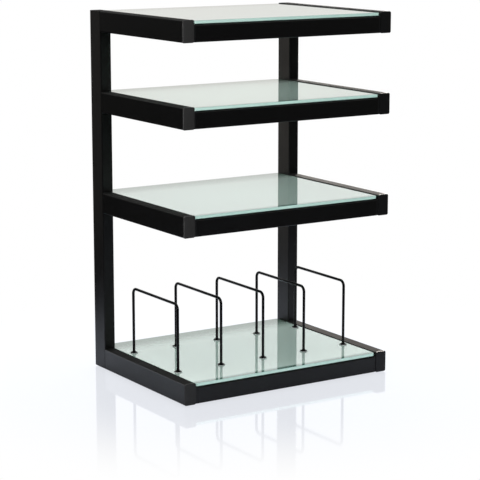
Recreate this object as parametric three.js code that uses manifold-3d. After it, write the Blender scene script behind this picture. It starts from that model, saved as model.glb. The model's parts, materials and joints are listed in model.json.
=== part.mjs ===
// An audio equipment rack. Two side frames of rectangular steel tube, each a rear post with four
// forward arms, are joined by four front and four rear cross rails. A glass shelf lies loose on each
// level, and five bent wire dividers stand on the bottom shelf to keep records upright.
//
// Units are millimetres. +X is to the right, +Y to the rear and +Z up. The origin is on the floor,
// under the middle of the rack.

import * as THREE from "three";
import { mergeVertices } from "three/addons/utils/BufferGeometryUtils.js";
import Module from "manifold-3d";

const wasm = await Module();
wasm.setup();

// Overall sizes: the width is over the tubes, the depth from the front caps to the backs of the posts.
const overallWidth = 600;
const overallDepth = 455;

// Clear heights between the arms of neighbouring levels.
const topBay = 150;
const middleBay = 204;
const recordBay = 356;

// Steel tube of the side frames.
const tubeWidth = 30;
const armHeight = 52;
const postDepth = 54;
const tubeWall = 2;
const tubeCorner = 2.5;
const tubeInnerCorner = 1;

// Cross rails, of a lower tube that lies flush with the bottoms of the arms.
const railHeight = 40;
const railDepth = 30;
const railCorner = 2;
const frontRailRecess = 2; // behind the faces of the front caps
const rearRailInset = 2; // in front of the backs of the posts

// Moulded plugs in the ends of the rails.
const plugFlange = 5; // the flange that shows between the rail and the arm
const plugCorner = 2.5;
const plugSpigot = 18; // reach into the rail
const tenonEndGap = 6; // from the tenon's end to the outer wall of the arm or post
const tenonDepth = 12;
const tenonHeight = 26;
const tenonSetback = 2.5; // between a tenon and the spigot in front of it
const restLength = 25; // the tongue that carries a corner of the glass
const restDepth = 20;
const restThickness = 2;

// Moulded caps on the fronts of the arms.
const capThickness = 4;
const capProud = 0.7; // how far the cap stands out from the tube all round
const capCorner = 4.5;
const capEdge = 1.2; // rounding of the edge round its face
const capSpigot = 12;
const spigotCorner = 1.5;

// Plugs in the feet of the posts, and glides under both ends of each bottom arm.
const footPlate = 3;
const footSpigot = 15;
const glideHeight = 2;
const glideDiameter = 20;
const glideEdge = 0.5;
const glideStem = 6;
const glideStemLength = 8;
const frontGlideSetback = 11.5; // from the front tenon to the stem behind it

// Glass shelves.
const glassThickness = 8;
const glassCorner = 8;
const glassArris = 1; // ground bevel along every edge
const glassSideGap = 1.5;
const glassFrontSet = 1.5; // behind the face of the front rail
const glassRearSet = 1.5; // in front of the backs of the posts

// Record dividers.
const dividerCount = 5;
const dividerEdgeInset = 18.5; // from the outer dividers to the edges of the glass
const dividerHeight = 173; // from the glass to the top of the wire
const dividerSpan = 220; // between the middles of its two legs
const wireDiameter = 7;
const wireBend = 14; // radius of the bend at the middle of the wire
const collarBrim = 5.6; // reach of the collar round the wire at its foot
const collarFlare = 1.3; // the same halfway up
const collarLip = 0.6; // the same at its top
const collarRim = 1.6; // thickness of the brim
const collarHeight = 4.6;
const washerThickness = 1.2;
const studDiameter = 5;
const studTail = 6; // below the glass, for its nut
const studClearance = 0.5; // round the stud in the glass

// Clearances shared by all the fits.
const seamGap = 0.1; // between faces that meet
const fitGap = 0.3; // round a spigot, tenon or stem
const overrun = 1; // how far a cutting tool passes its face

// Facets on rounded work. An arc in an outline gets two for each one stated.
const cornerFacets = 2;
const hiddenCornerFacets = 1;
const roundFacets = 16;
const wireFacets = 4;
const bendFacets = 5;

// Places that follow from the sizes.
const frontFace = -overallDepth / 2;
const rearFace = overallDepth / 2;
const frameCentreX = (overallWidth - tubeWidth) / 2;
const innerFaceX = overallWidth / 2 - tubeWidth;
const postCentreY = rearFace - postDepth / 2;
const postFrontY = rearFace - postDepth;
const armFrontY = frontFace + capThickness;
const armRearY = postFrontY - seamGap;
const frontRailY = frontFace + frontRailRecess + railDepth / 2;
const rearRailY = rearFace - rearRailInset - railDepth / 2;
const tenonReach = tubeWidth - tubeWall - tenonEndGap;
const frontTenonY = armFrontY + capSpigot + tenonSetback + tenonDepth / 2;
const frontGlideY = frontTenonY + tenonDepth / 2 + frontGlideSetback + glideStem / 2;
const footSpigotFront = postFrontY + tubeWall + fitGap;
const footSpigotRear = rearRailY - tenonDepth / 2 - tenonSetback;
const footSpigotY = (footSpigotFront + footSpigotRear) / 2;
const glassWidth = 2 * (innerFaceX - glassSideGap);
const plugStandOff = capProud + seamGap; // between a flange and the arm, past the cap's proud edge
const restTop = railHeight + seamGap + restThickness;
const glassLift = restTop + seamGap; // from the bottom of an arm to the underside of its glass

const levelNames = ["top", "upper", "middle", "bottom"];
const armBottoms = [recordBay, middleBay, topBay].reduce(
  (bottoms, bay) => [bottoms[0] + armHeight + bay, ...bottoms],
  [glideHeight + seamGap],
);
const floorLevel = armBottoms.length - 1;
const postTop = armBottoms[0] + armHeight;

const satinSteel = new THREE.MeshStandardMaterial({ color: 0x1b1b1c, roughness: 0.42, metalness: 0.3 });
const mouldedPlastic = new THREE.MeshStandardMaterial({ color: 0x2f3032, roughness: 0.55, metalness: 0 });
const satinGlass = new THREE.MeshStandardMaterial({
  color: 0xcfe0d8,
  roughness: 0.12,
  metalness: 0,
  transparent: true,
  opacity: 0.6,
});
const coatedWire = new THREE.MeshStandardMaterial({ color: 0x161617, roughness: 0.35, metalness: 0.3 });

const rack = new THREE.Group();

// Solid helpers

function toSolid(geometry) {
  const bare = geometry.clone();
  bare.deleteAttribute("normal");
  bare.deleteAttribute("uv");
  const merged = mergeVertices(bare);
  return new wasm.Manifold(
    new wasm.Mesh({
      numProp: 3,
      vertProperties: merged.attributes.position.array,
      triVerts: new Uint32Array(merged.index.array),
    }),
  );
}

function toGeometry(solid) {
  const mesh = solid.getMesh();
  const geometry = new THREE.BufferGeometry();
  geometry.setAttribute("position", new THREE.BufferAttribute(mesh.vertProperties, 3));
  geometry.setIndex(new THREE.BufferAttribute(mesh.triVerts, 1));
  geometry.computeVertexNormals();
  return geometry;
}

function cut(geometry, tools) {
  return toGeometry(tools.reduce((solid, tool) => solid.subtract(toSolid(tool)), toSolid(geometry)));
}

function join(pieces) {
  return toGeometry(pieces.map(toSolid).reduce((whole, piece) => whole.add(piece)));
}

// The two ends of a stretch, the lower one first.
function span(ends) {
  return [Math.min(...ends), Math.max(...ends)];
}

function block(x0, x1, y0, y1, z0, z1) {
  const box = new THREE.BoxGeometry(x1 - x0, y1 - y0, z1 - z0);
  return box.translate((x0 + x1) / 2, (y0 + y1) / 2, (z0 + z1) / 2);
}

function roundedOutline(width, height, radius, outline = new THREE.Shape()) {
  const x = width / 2;
  const y = height / 2;
  outline.moveTo(-x + radius, -y);
  outline.lineTo(x - radius, -y);
  outline.absarc(x - radius, -y + radius, radius, -Math.PI / 2, 0);
  outline.lineTo(x, y - radius);
  outline.absarc(x - radius, y - radius, radius, 0, Math.PI / 2);
  outline.lineTo(-x + radius, y);
  outline.absarc(-x + radius, y - radius, radius, Math.PI / 2, Math.PI);
  outline.lineTo(-x, -y + radius);
  outline.absarc(-x + radius, -y + radius, radius, Math.PI, (3 * Math.PI) / 2);
  return outline;
}

// A bar of rounded section that stands on z = 0. With a wall it is a tube, open at both ends.
function bar(width, depth, corner, length, { wall = 0, facets = cornerFacets } = {}) {
  const section = roundedOutline(width, depth, corner);
  if (wall > 0) {
    const hollow = new THREE.Path();
    section.holes.push(roundedOutline(width - 2 * wall, depth - 2 * wall, tubeInnerCorner, hollow));
  }
  const settings = { depth: length, bevelEnabled: false, curveSegments: facets };
  return new THREE.ExtrudeGeometry(section, settings);
}

// Turns a standing bar to run forwards from y = 0: its width stays across, its depth becomes its height.
function layForwards(geometry) {
  return geometry.rotateX(Math.PI / 2);
}

// Turns a standing bar to run along +X from x = 0: its width becomes its height.
function layAcross(geometry) {
  return geometry.rotateY(Math.PI / 2);
}

function turned(profile, facets = roundFacets) {
  const points = profile.map(([radius, height]) => new THREE.Vector2(radius, height));
  return new THREE.LatheGeometry(points, facets).rotateX(Math.PI / 2);
}

// An upright cylinder round the origin, to cut a hole with.
function roundHole(radius, length) {
  return new THREE.CylinderGeometry(radius, radius, length, roundFacets).rotateX(Math.PI / 2);
}

function place(name, geometry, material, x, y, z) {
  const mesh = new THREE.Mesh(geometry, material);
  mesh.name = name;
  mesh.position.set(x, y, z);
  rack.add(mesh);
}

// Side frames

// Opening in the inner wall of an arm or a post for a rail's tenon, round the point (0, y, z).
function tenonWindow(side, y, z) {
  const inner = (-side * tubeWidth) / 2;
  const halfDepth = tenonDepth / 2 + fitGap;
  const halfHeight = tenonHeight / 2 + fitGap;
  const ends = [inner - side * overrun, inner + side * (tubeWall + overrun)];
  return block(...span(ends), y - halfDepth, y + halfDepth, z - halfHeight, z + halfHeight);
}

function armGeometry(side, hasGlide) {
  const length = armRearY - armFrontY - seamGap;
  const tube = layForwards(bar(tubeWidth, armHeight, tubeCorner, length, { wall: tubeWall }));
  tube.translate(0, 0, armHeight / 2);
  const tools = [tenonWindow(side, frontTenonY - armRearY, railHeight / 2)];
  if (hasGlide) {
    const hole = roundHole(glideStem / 2 + fitGap, tubeWall + 2 * overrun);
    tools.push(hole.translate(0, frontGlideY - armRearY, tubeWall / 2));
  }
  return cut(tube, tools);
}

function postGeometry(side) {
  const bottom = armBottoms[floorLevel] + footPlate + seamGap;
  const height = postTop - bottom;
  const tube = bar(tubeWidth, postDepth, tubeCorner, height, { wall: tubeWall }).translate(0, 0, bottom);
  const lid = bar(tubeWidth, postDepth, tubeCorner, tubeWall).translate(0, 0, postTop - tubeWall);
  const windows = armBottoms.map((z) => tenonWindow(side, rearRailY - postCentreY, z + railHeight / 2));
  return cut(join([tube, lid]), windows);
}

function postFootGeometry() {
  const plate = bar(tubeWidth, postDepth, tubeCorner, footPlate);
  const spigotWidth = tubeWidth - 2 * (tubeWall + fitGap);
  const spigotDepth = footSpigotRear - footSpigotFront;
  const height = footPlate + footSpigot;
  const spigot = bar(spigotWidth, spigotDepth, spigotCorner, height, { facets: hiddenCornerFacets });
  const spigotShift = footSpigotY - postCentreY;
  spigot.translate(0, spigotShift, 0);
  const holeRadius = glideStem / 2 + fitGap;
  const holeLength = height + 2 * overrun;
  const hole = roundHole(holeRadius, holeLength).translate(0, spigotShift, holeLength / 2 - overrun);
  return cut(join([plate, spigot]), [hole]);
}

function armCapGeometry() {
  const width = tubeWidth + 2 * capProud;
  const height = armHeight + 2 * capProud;
  const face = roundedOutline(width - 2 * capEdge, height - 2 * capEdge, capCorner - capEdge);
  const plate = new THREE.ExtrudeGeometry(face, {
    depth: capThickness,
    bevelThickness: capEdge,
    bevelSize: capEdge,
    bevelSegments: cornerFacets,
    curveSegments: cornerFacets,
  });
  layForwards(plate).translate(0, capEdge, 0);
  const behind = block(-width, width, 0, capThickness, -height, height);
  const inset = 2 * (tubeWall + fitGap);
  const length = capSpigot + overrun;
  const section = [tubeWidth - inset, armHeight - inset, spigotCorner];
  const spigot = layForwards(bar(...section, length, { facets: hiddenCornerFacets }));
  return join([cut(plate, [behind]), spigot.translate(0, capSpigot, 0)]);
}

function glideGeometry() {
  const radius = glideDiameter / 2;
  return turned([
    [0, 0],
    [radius - glideEdge, 0],
    [radius, glideEdge],
    [radius, glideHeight],
    [glideStem / 2, glideHeight],
    [glideStem / 2, glideHeight + glideStemLength],
    [0, glideHeight + glideStemLength],
  ]);
}

function addSideFrame(side, sideName) {
  const x = side * frameCentreX;
  const frameBottom = armBottoms[floorLevel];
  place(`${sideName}_post`, postGeometry(side), satinSteel, x, postCentreY, 0);
  place(`${sideName}_post_foot`, postFootGeometry(), mouldedPlastic, x, postCentreY, frameBottom);
  place(`${sideName}_rear_glide`, glideGeometry(), mouldedPlastic, x, footSpigotY, 0);
  place(`${sideName}_front_glide`, glideGeometry(), mouldedPlastic, x, frontGlideY, 0);
  armBottoms.forEach((z, level) => {
    const arm = armGeometry(side, level === floorLevel);
    place(`${sideName}_${levelNames[level]}_arm`, arm, satinSteel, x, armRearY, z);
    const capZ = z + armHeight / 2;
    place(`${sideName}_${levelNames[level]}_arm_cap`, armCapGeometry(), mouldedPlastic, x, armFrontY, capZ);
  });
}

// Cross rails

function railGeometry() {
  const length = 2 * (innerFaceX - plugStandOff - plugFlange - seamGap);
  const tube = layAcross(bar(railHeight, railDepth, railCorner, length, { wall: tubeWall }));
  return tube.translate(-length / 2, 0, railHeight / 2);
}

// A plug seen from the arm or post that it enters: x = 0 is that tube's inner face and inwards points
// to the middle of the rack.
function railPlugGeometry(inwards, tenonShift) {
  const flange = layAcross(bar(restTop, railDepth, plugCorner, plugFlange, { facets: hiddenCornerFacets }));
  flange.translate(inwards > 0 ? plugStandOff : -plugStandOff - plugFlange, 0, restTop / 2);
  const reach = (near, far, halfDepth, z0, z1, y = 0) =>
    block(...span([inwards * near, inwards * far]), y - halfDepth, y + halfDepth, z0, z1);
  const middle = plugStandOff + plugFlange / 2;
  const spigotEnd = plugStandOff + plugFlange + plugSpigot;
  const spigotEdge = tubeWall + fitGap;
  const spigot = reach(middle, spigotEnd, railDepth / 2 - spigotEdge, spigotEdge, railHeight - spigotEdge);
  const tenonLow = (railHeight - tenonHeight) / 2;
  const tenon = reach(-tenonReach, middle, tenonDepth / 2, tenonLow, tenonLow + tenonHeight, tenonShift);
  const restEnd = plugStandOff + plugFlange + restLength;
  const rest = reach(middle, restEnd, restDepth / 2, railHeight + seamGap, restTop);
  return join([flange, spigot, tenon, rest]);
}

function addCrossRails() {
  const runs = [
    ["front", frontRailY, frontTenonY - frontRailY],
    ["rear", rearRailY, 0],
  ];
  for (const [run, y, tenonShift] of runs) {
    armBottoms.forEach((z, level) => {
      const name = `${run}_${levelNames[level]}_rail`;
      place(name, railGeometry(), satinSteel, 0, y, z);
      place(`${name}_left_plug`, railPlugGeometry(1, tenonShift), mouldedPlastic, -innerFaceX, y, z);
      place(`${name}_right_plug`, railPlugGeometry(-1, tenonShift), mouldedPlastic, innerFaceX, y, z);
    });
  }
}

// Glass shelves and record dividers

function glassGeometry(holeCentres) {
  const depth = overallDepth - frontRailRecess - glassFrontSet - glassRearSet;
  const bevels = 2 * glassArris;
  const outline = roundedOutline(glassWidth - bevels, depth - bevels, glassCorner - glassArris);
  const plate = new THREE.ExtrudeGeometry(outline, {
    depth: glassThickness - bevels,
    bevelThickness: glassArris,
    bevelSize: glassArris,
    bevelSegments: 1,
    curveSegments: cornerFacets,
  });
  plate.translate(0, 0, glassArris);
  if (holeCentres.length === 0) {
    return plate;
  }
  const holeRadius = studDiameter / 2 + studClearance;
  const holeLength = glassThickness + 2 * overrun;
  const holes = holeCentres.map(([x, y]) => {
    const hole = roundHole(holeRadius, holeLength);
    return hole.translate(x, y, glassThickness / 2);
  });
  return cut(plate, holes);
}

// The middle line of a divider's wire in the plane x = 0, with a ring of facets at each of its points.
class BentWire extends THREE.Curve {
  constructor(legHeight, halfSpan, bend) {
    super();
    this.stations = [{ y: -halfSpan, z: 0, angle: Math.PI / 2 }];
    const centres = [
      [-halfSpan + bend, Math.PI],
      [halfSpan - bend, Math.PI / 2],
    ];
    for (const [centreY, start] of centres) {
      for (let step = 0; step <= bendFacets; step += 1) {
        const around = start - (Math.PI / 2) * (step / bendFacets);
        const y = centreY + bend * Math.cos(around);
        const z = legHeight - bend + bend * Math.sin(around);
        this.stations.push({ y, z, angle: around - Math.PI / 2 });
      }
    }
    this.stations.push({ y: halfSpan, z: 0, angle: -Math.PI / 2 });
  }

  station(u) {
    return this.stations[Math.round(u * (this.stations.length - 1))];
  }

  getPointAt(u, target = new THREE.Vector3()) {
    const { y, z } = this.station(u);
    return target.set(0, y, z);
  }

  getTangentAt(u, target = new THREE.Vector3()) {
    const { angle } = this.station(u);
    return target.set(0, Math.cos(angle), Math.sin(angle));
  }
}

function dividerGeometry() {
  const seat = washerThickness;
  const wireFoot = seat + collarRim;
  const path = new BentWire(dividerHeight - wireFoot - wireDiameter / 2, dividerSpan / 2, wireBend);
  const section = new THREE.Shape().absarc(0, 0, wireDiameter / 2, 0, 2 * Math.PI);
  const wire = new THREE.ExtrudeGeometry(section, {
    steps: path.stations.length - 1,
    extrudePath: path,
    curveSegments: wireFacets,
  });
  const tip = -glassThickness - studTail;
  const wireRadius = wireDiameter / 2;
  const legs = [-dividerSpan / 2, dividerSpan / 2].map((y) =>
    turned([
      [0, tip],
      [studDiameter / 2, tip],
      [studDiameter / 2, seat],
      [wireRadius + collarBrim, seat],
      [wireRadius + collarBrim, wireFoot],
      [wireRadius + collarFlare, seat + (collarRim + collarHeight) / 2],
      [wireRadius + collarLip, seat + collarHeight],
      [0, seat + collarHeight],
    ]).translate(0, y, 0),
  );
  return join([wire.translate(0, 0, wireFoot), ...legs]);
}

function addShelves() {
  const glassFrontY = frontFace + frontRailRecess + glassFrontSet;
  const glassRearY = rearFace - glassRearSet;
  const glassY = (glassFrontY + glassRearY) / 2;
  const pitch = (glassWidth - 2 * dividerEdgeInset) / (dividerCount - 1);
  const firstX = dividerEdgeInset - glassWidth / 2;
  const dividerXs = Array.from({ length: dividerCount }, (_, n) => firstX + n * pitch);
  const legYs = [-dividerSpan / 2, dividerSpan / 2];
  const holes = dividerXs.flatMap((x) => legYs.map((y) => [x, y - glassY]));
  armBottoms.forEach((bottom, level) => {
    const geometry = glassGeometry(level === floorLevel ? holes : []);
    place(`${levelNames[level]}_glass_shelf`, geometry, satinGlass, 0, glassY, bottom + glassLift);
  });
  const glassTop = armBottoms[floorLevel] + glassLift + glassThickness;
  dividerXs.forEach((x, n) => {
    place(`record_divider_${n + 1}`, dividerGeometry(), coatedWire, x, 0, glassTop);
  });
}

addSideFrame(-1, "left");
addSideFrame(1, "right");
addCrossRails();
addShelves();

export default rack;
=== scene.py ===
import json
import math
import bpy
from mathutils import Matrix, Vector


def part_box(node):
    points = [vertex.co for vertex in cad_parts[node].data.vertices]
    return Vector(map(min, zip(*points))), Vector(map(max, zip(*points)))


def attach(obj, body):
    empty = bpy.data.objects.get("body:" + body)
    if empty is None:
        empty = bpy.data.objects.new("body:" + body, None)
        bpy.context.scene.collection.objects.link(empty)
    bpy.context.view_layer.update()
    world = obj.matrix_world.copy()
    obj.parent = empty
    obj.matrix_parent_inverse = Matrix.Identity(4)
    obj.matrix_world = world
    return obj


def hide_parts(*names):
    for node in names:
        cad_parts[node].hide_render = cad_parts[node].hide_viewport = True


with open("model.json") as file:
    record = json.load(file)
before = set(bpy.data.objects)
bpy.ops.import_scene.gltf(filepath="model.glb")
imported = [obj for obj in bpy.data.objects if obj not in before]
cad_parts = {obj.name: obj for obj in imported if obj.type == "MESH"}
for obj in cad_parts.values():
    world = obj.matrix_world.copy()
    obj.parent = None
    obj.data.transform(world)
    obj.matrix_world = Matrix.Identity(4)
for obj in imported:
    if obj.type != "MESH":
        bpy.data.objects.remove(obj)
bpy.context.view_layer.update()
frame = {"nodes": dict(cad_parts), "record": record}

from fnmatch import fnmatch
from typing import NamedTuple

import bmesh
import bpy
from bpy.props import FloatProperty, FloatVectorProperty, IntProperty, PointerProperty
from bpy.types import Operator, Panel, PropertyGroup
from mathutils import Vector

bl_info = {
    "name": "Audio equipment rack",
    "version": (1, 0, 0),
    "blender": (4, 5, 0),
    "location": "3D View > Sidebar > Rack",
    "description": "Dresses the steel and glass rack and sets up its studio",
    "category": "Object",
}

RECORD = frame["record"]
BODY_OF = {node: body for body, nodes in RECORD["behaviour"]["bodies"].items() for node in nodes}

SIDES = ("left", "right")
LEVELS = ("top", "upper", "middle", "bottom")
RUNS = ("front", "rear")
ARMS = [f"{side}_{level}_arm" for side in SIDES for level in LEVELS]
RAILS = [f"{run}_{level}_rail" for run in RUNS for level in LEVELS]
DIVIDERS = sorted(node for node in frame["nodes"] if node.startswith("record_divider_"))
LOW_GLASS = "bottom_glass_shelf"
MM = 0.001
QUARTER = math.radians(90)
FACETS = 48
SHARP_ANGLE = math.radians(35)

WHITE = (1.0, 1.0, 1.0)
BLACK = (0.0, 0.0, 0.0)
WARM = (1.0, 0.93, 0.86)
COOL = (0.86, 0.92, 1.0)

# What the lamps light or face
ALL_GLASS = "*_glass_shelf_fine"
TOP_GLASS = "top_glass_shelf_fine"
RACK_MIDDLE = (0.0, 0.0, 0.45)
CARD_MIDDLE = (0.0, 0.0, 1.1)
CARD = (3.0, 1.6)
OVERHEAD = (0.2, 0.3, 2.9)
WIDE = (2.6, 2.6)

# Where the world's soft steps start and end, as shares of a direction of length 1
HORIZON = (-0.08, 0.06)
REARWARD = (0.45, 0.80)
HIGH_UP = (0.12, 0.40)
TINT_CHANGE = (0.11, 0.20)


class Lamp(NamedTuple):
    """An area lamp with the setting that holds its power."""

    name: str
    power: str
    place: tuple
    target: tuple
    size: tuple
    tint: tuple = WHITE
    lights: str = ""  # the only pieces that it lights, if it isn't meant for all
    spares: str = ""  # the pieces that it leaves out
    in_gloss: bool = True


LAMPS = (
    Lamp("key", "key_power", OVERHEAD, RACK_MIDDLE, WIDE, spares=TOP_GLASS, in_gloss=False),
    Lamp("rear", "rear_power", (1.6, 2.6, 1.9), RACK_MIDDLE, (2.2, 1.6), in_gloss=False),
    Lamp("top", "top_power", OVERHEAD, RACK_MIDDLE, WIDE, lights=TOP_GLASS, in_gloss=False),
    Lamp("side", "side_power", (-0.8, 1.5, 0.55), (-0.3, 0.1, 0.5), (0.75, 1.0), WARM, "*_post_*fine"),
    Lamp("fill", "fill_power", (-0.55, -0.6, 0.66), (-0.285, -0.22, 0.58), (0.12, 1.25), WHITE,
         "left_*_arm_cap_fine"),
    Lamp("front", "front_power", (-1.3, -2.4, 0.6), (0.0, -0.2, 0.5), (1.6, 1.0), WHITE, ALL_GLASS),
    Lamp("rim", "rim_power", (1.48, 1.58, 0.85), (0.285, 0.0, 0.45), (0.5, 0.5), WARM, "right_*"),
    Lamp("inner", "inner_power", (-0.55, 1.5, 0.5), (0.285, 0.19, 0.5), (0.75, 1.0), WARM,
         "right_post_fine"),
    Lamp("low", "low_power", (-0.95, 0.9, 0.22), (-0.3, -0.1, 0.03), (0.8, 0.4), COOL,
         "left_bottom_arm_fine"),
    Lamp("left_card", "card_power", (-2.2, 0.0, 1.1), CARD_MIDDLE, CARD, WHITE, ALL_GLASS),
    Lamp("right_card", "card_power", (2.2, 0.0, 1.1), CARD_MIDDLE, CARD, WHITE, ALL_GLASS),
    Lamp("front_card", "card_power", (0.0, -2.6, 1.1), CARD_MIDDLE, CARD, WHITE, ALL_GLASS),
)


# Sizes, finishes and studio values

def length(name, description, millimetres):
    """A length that the user can change, stated here in millimetres."""
    return FloatProperty(name=name, description=description, default=millimetres * MM, min=0.0, precision=5,
                         unit="LENGTH")


def distance(name, description, metres):
    """A distance in the studio that the user can change, stated here in metres."""
    return FloatProperty(name=name, description=description, default=metres, unit="LENGTH")


def turn(name, description, degrees):
    """An angle that the user can change, stated here in degrees."""
    return FloatProperty(name=name, description=description, default=math.radians(degrees), subtype="ANGLE")


def watts(name, lamp, value):
    """The power of a lamp that the user can change."""
    return FloatProperty(name=name, description=f"Power of {lamp}, in watts", default=value, unit="POWER")


def colour(name, description, value):
    """A colour that the user can change."""
    return FloatVectorProperty(name=name, description=description, subtype="COLOR", size=3, default=value,
                               min=0.0, max=1.0)


def number(name, description, value, high=1.0):
    """A plain number that the user can change."""
    return FloatProperty(name=name, description=description, default=value, min=0.0, max=high)


def count(name, description, value, low, high):
    """A whole number that the user can change."""
    return IntProperty(name=name, description=description, default=value, min=low, max=high)


class RackTubeSizes(PropertyGroup):
    """Sizes of the steel tubes that their outer boxes don't give."""

    wall: length("Tube wall", "Thickness of the steel", 2.0)
    corner: length("Frame corner", "Outer radius along the tubes of the side frames", 2.5)
    inner_corner: length("Inner corner", "Inner radius along every tube", 1.0)
    rail_corner: length("Rail corner", "Outer radius along the cross rails", 2.0)
    lid_edge: length("Lid edge", "Rounding round the closed tops of the posts", 0.9)
    arc_steps: count("Arc steps", "Flat steps in a quarter turn", 8, 2, 32)


class RackWeldSizes(PropertyGroup):
    """Sizes of the weld beads between arms and posts."""

    radius: length("Bead radius", "How far a bead stands out of the corner", 1.9)
    end_gap: length("End gap", "From the end of a bead to the side of the tube", 1.6)
    step: length("Bead step", "Spacing of the rings along a bead", 0.5)
    ripple: length("Ripple length", "Spacing of the ripples that the torch leaves", 2.6)
    ripple_share: number("Ripple height", "Height of a ripple as a share of the radius", 0.12)
    end_power: number("End fullness", "How late a bead tapers at its ends", 14.0, 100.0)


class RackMouldedSizes(PropertyGroup):
    """Sizes of the moulded caps, plugs and feet."""

    cap_thickness: length("Cap thickness", "Thickness of the plate of an arm cap", 4.0)
    cap_corner: length("Cap corner", "Corner radius of an arm cap", 4.5)
    cap_edge: length("Cap edge", "Rounding round the face of an arm cap", 1.4)
    cap_crown: length("Cap crown", "How far the face of an arm cap swells", 0.35)
    cap_proud: length("Cap overhang", "How far an arm cap stands out from its tube", 0.7)
    fit_gap: length("Fit gap", "Clearance round a spigot in its tube", 0.3)
    flange: length("Plug flange", "Thickness of the flange at the end of a rail", 5.0)
    flange_corner: length("Flange corner", "Corner radius of the flange", 2.5)
    flange_edge: length("Flange edge", "Rounding round both faces of the flange", 0.7)
    seam: length("Seam", "Gap between pieces that meet", 0.1)
    plug_spigot: length("Plug spigot", "Reach of a plug into its rail", 18.0)
    tenon_depth: length("Tenon depth", "Front to back size of a plug's tenon", 12.0)
    tenon_height: length("Tenon height", "Height of a plug's tenon", 26.0)
    front_tenon_shift: length("Front tenon shift", "From the middle of a front rail to its tenons", 7.5)
    rest_reach: length("Rest reach", "Reach of the tongue under the glass", 25.0)
    rest_depth: length("Rest depth", "Front to back size of the tongue", 20.0)
    rest_thickness: length("Rest thickness", "Thickness of the tongue", 2.0)
    small_corner: length("Small corner", "Corner radius of spigots, tenons and tongues", 1.5)
    foot_plate: length("Foot plate", "Thickness of the plate under a post", 3.0)
    foot_edge: length("Foot edge", "Rounding round the underside of a post foot", 2.4)
    foot_spigot_depth: length("Foot spigot depth", "Front to back size of a foot's spigot", 26.2)
    stem_hole: length("Stem hole", "Diameter of the hole for a glide's stem", 6.6)


class RackDividerSizes(PropertyGroup):
    """Sizes of the record dividers and of what fastens them."""

    wire: length("Wire", "Diameter of the wire", 7.0)
    bend: length("Bend", "Radius of the bends at the middle of the wire", 14.0)
    bend_steps: count("Bend steps", "Rings of facets in a bend", 14, 3, 48)
    wire_facets: count("Wire facets", "Facets round the wire", 24, 8, 64)
    brim: length("Collar brim", "Diameter of a collar at the glass", 18.2)
    rim: length("Collar rim", "Thickness of the brim", 1.6)
    collar: length("Collar height", "Height of a collar", 4.6)
    neck: length("Collar neck", "Diameter of a collar at its top", 8.2)
    stud: length("Stud", "Diameter of the stud through the glass", 5.0)
    hole_gap: length("Stud clearance", "How much wider its hole is", 0.6)
    washer: length("Clear washer", "Thickness of the washer between collar and glass", 1.2)
    washer_width: length("Clear washer width", "Diameter of the washer between collar and glass", 20.4)
    nut: length("Nut", "Size of a nut across its flats", 8.0)
    nut_height: length("Nut height", "Height of a nut", 4.0)
    under_washer: length("Washer under the glass", "Thickness of the washer above a nut", 1.0)
    under_washer_width: length("Its width", "Diameter of the washer above a nut", 12.0)


class RackGlassSizes(PropertyGroup):
    """Sizes of the edges of the glass shelves."""

    arris: length("Arris", "Width of the ground edge between face and side", 1.1)
    corner: length("Corner", "Radius of the four corners", 8.0)


class RackScrewSizes(PropertyGroup):
    """Sizes of the countersunk screws that hold the rails."""

    head: length("Head", "Diameter of a screw head", 9.0)
    sunk: length("Sunk", "How far a head lies below the face of its tube", 0.15)
    land: length("Land", "Straight rim round the head", 0.4)
    cone: length("Cone", "Depth of the cone under the head", 2.4)
    shank: length("Shank", "Diameter of the thread", 4.0)
    reach: length("Reach", "Length of the screw from its face", 15.0)
    hole_gap: length("Hole gap", "Clearance round the head in its countersink", 0.2)
    socket: length("Socket", "Size of the hexagon socket across its flats", 3.0)
    socket_depth: length("Socket depth", "Depth of the hexagon socket", 1.6)


class RackFinishes(PropertyGroup):
    """Colours and finishes."""

    steel: colour("Steel", "Powder coat on the tubes", (0.0056, 0.0052, 0.0048))
    steel_roughness: number("Steel roughness", "Roughness of the powder coat", 0.38)
    steel_matte: number("Steel top", "How much rougher the powder coat is where it faces up", 0.54)
    steel_peel: length("Orange peel", "Size of the soft waves in the powder coat", 1.6)
    plastic: colour("Plastic", "Caps and feet", (0.0085, 0.0083, 0.0081))
    plastic_roughness: number("Plastic roughness", "Roughness of the moulded pieces", 0.44)
    plastic_grain: length("Plastic grain", "Size of the moulded grain", 0.35)
    plug: colour("Plug", "Ends of the rails", (0.009, 0.0088, 0.0086))
    wire: colour("Wire", "Coating on the dividers", (0.0020, 0.0020, 0.0020))
    wire_roughness: number("Wire roughness", "Roughness of the wire's coating", 0.18)
    clear: colour("Clear plastic", "Washers on the glass", (0.95, 0.97, 0.96))
    glass: colour("Glass", "Glass seen through its faces", (0.70, 0.86, 0.79))
    glass_edge: colour("Glass edge", "Glass seen through its edges", (0.60, 0.84, 0.74))
    # Painted shade: the glass front and glass rear colours darken the glass near its front edge and over the
    # rear rail, where the rails beneath stop the light from below.
    glass_front_rail_shade: colour("Glass front", "Glass behind its front edge", (0.10, 0.22, 0.18))
    glass_rear_rail_shade: colour("Glass rear", "Glass over the rear rail", (0.10, 0.20, 0.15))
    glass_arris: colour("Glass arris", "Ground upper edges of the glass", (0.45, 0.66, 0.60))
    # Painted shade: the dark lower arris colour stands for the shade line between the glass and the rail
    # under it.
    glass_low_arris_shade: colour("Glass lower arris", "Its ground lower edges, over the rail", (0.06, 0.11, 0.10))
    glass_polish: number("Glass polish", "Roughness of the polished faces", 0.02)
    glass_haze: number("Glass haze", "Roughness that the satin underside adds", 0.40)
    glass_clear: number("Glass transmission", "Share of the light that goes through", 0.22)
    glass_shade: number("Glass shade", "Share of the lamps' light that each face of the glass stops", 0.05)
    zinc: colour("Zinc", "Nuts and the washers above them", (0.55, 0.56, 0.57))


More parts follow.
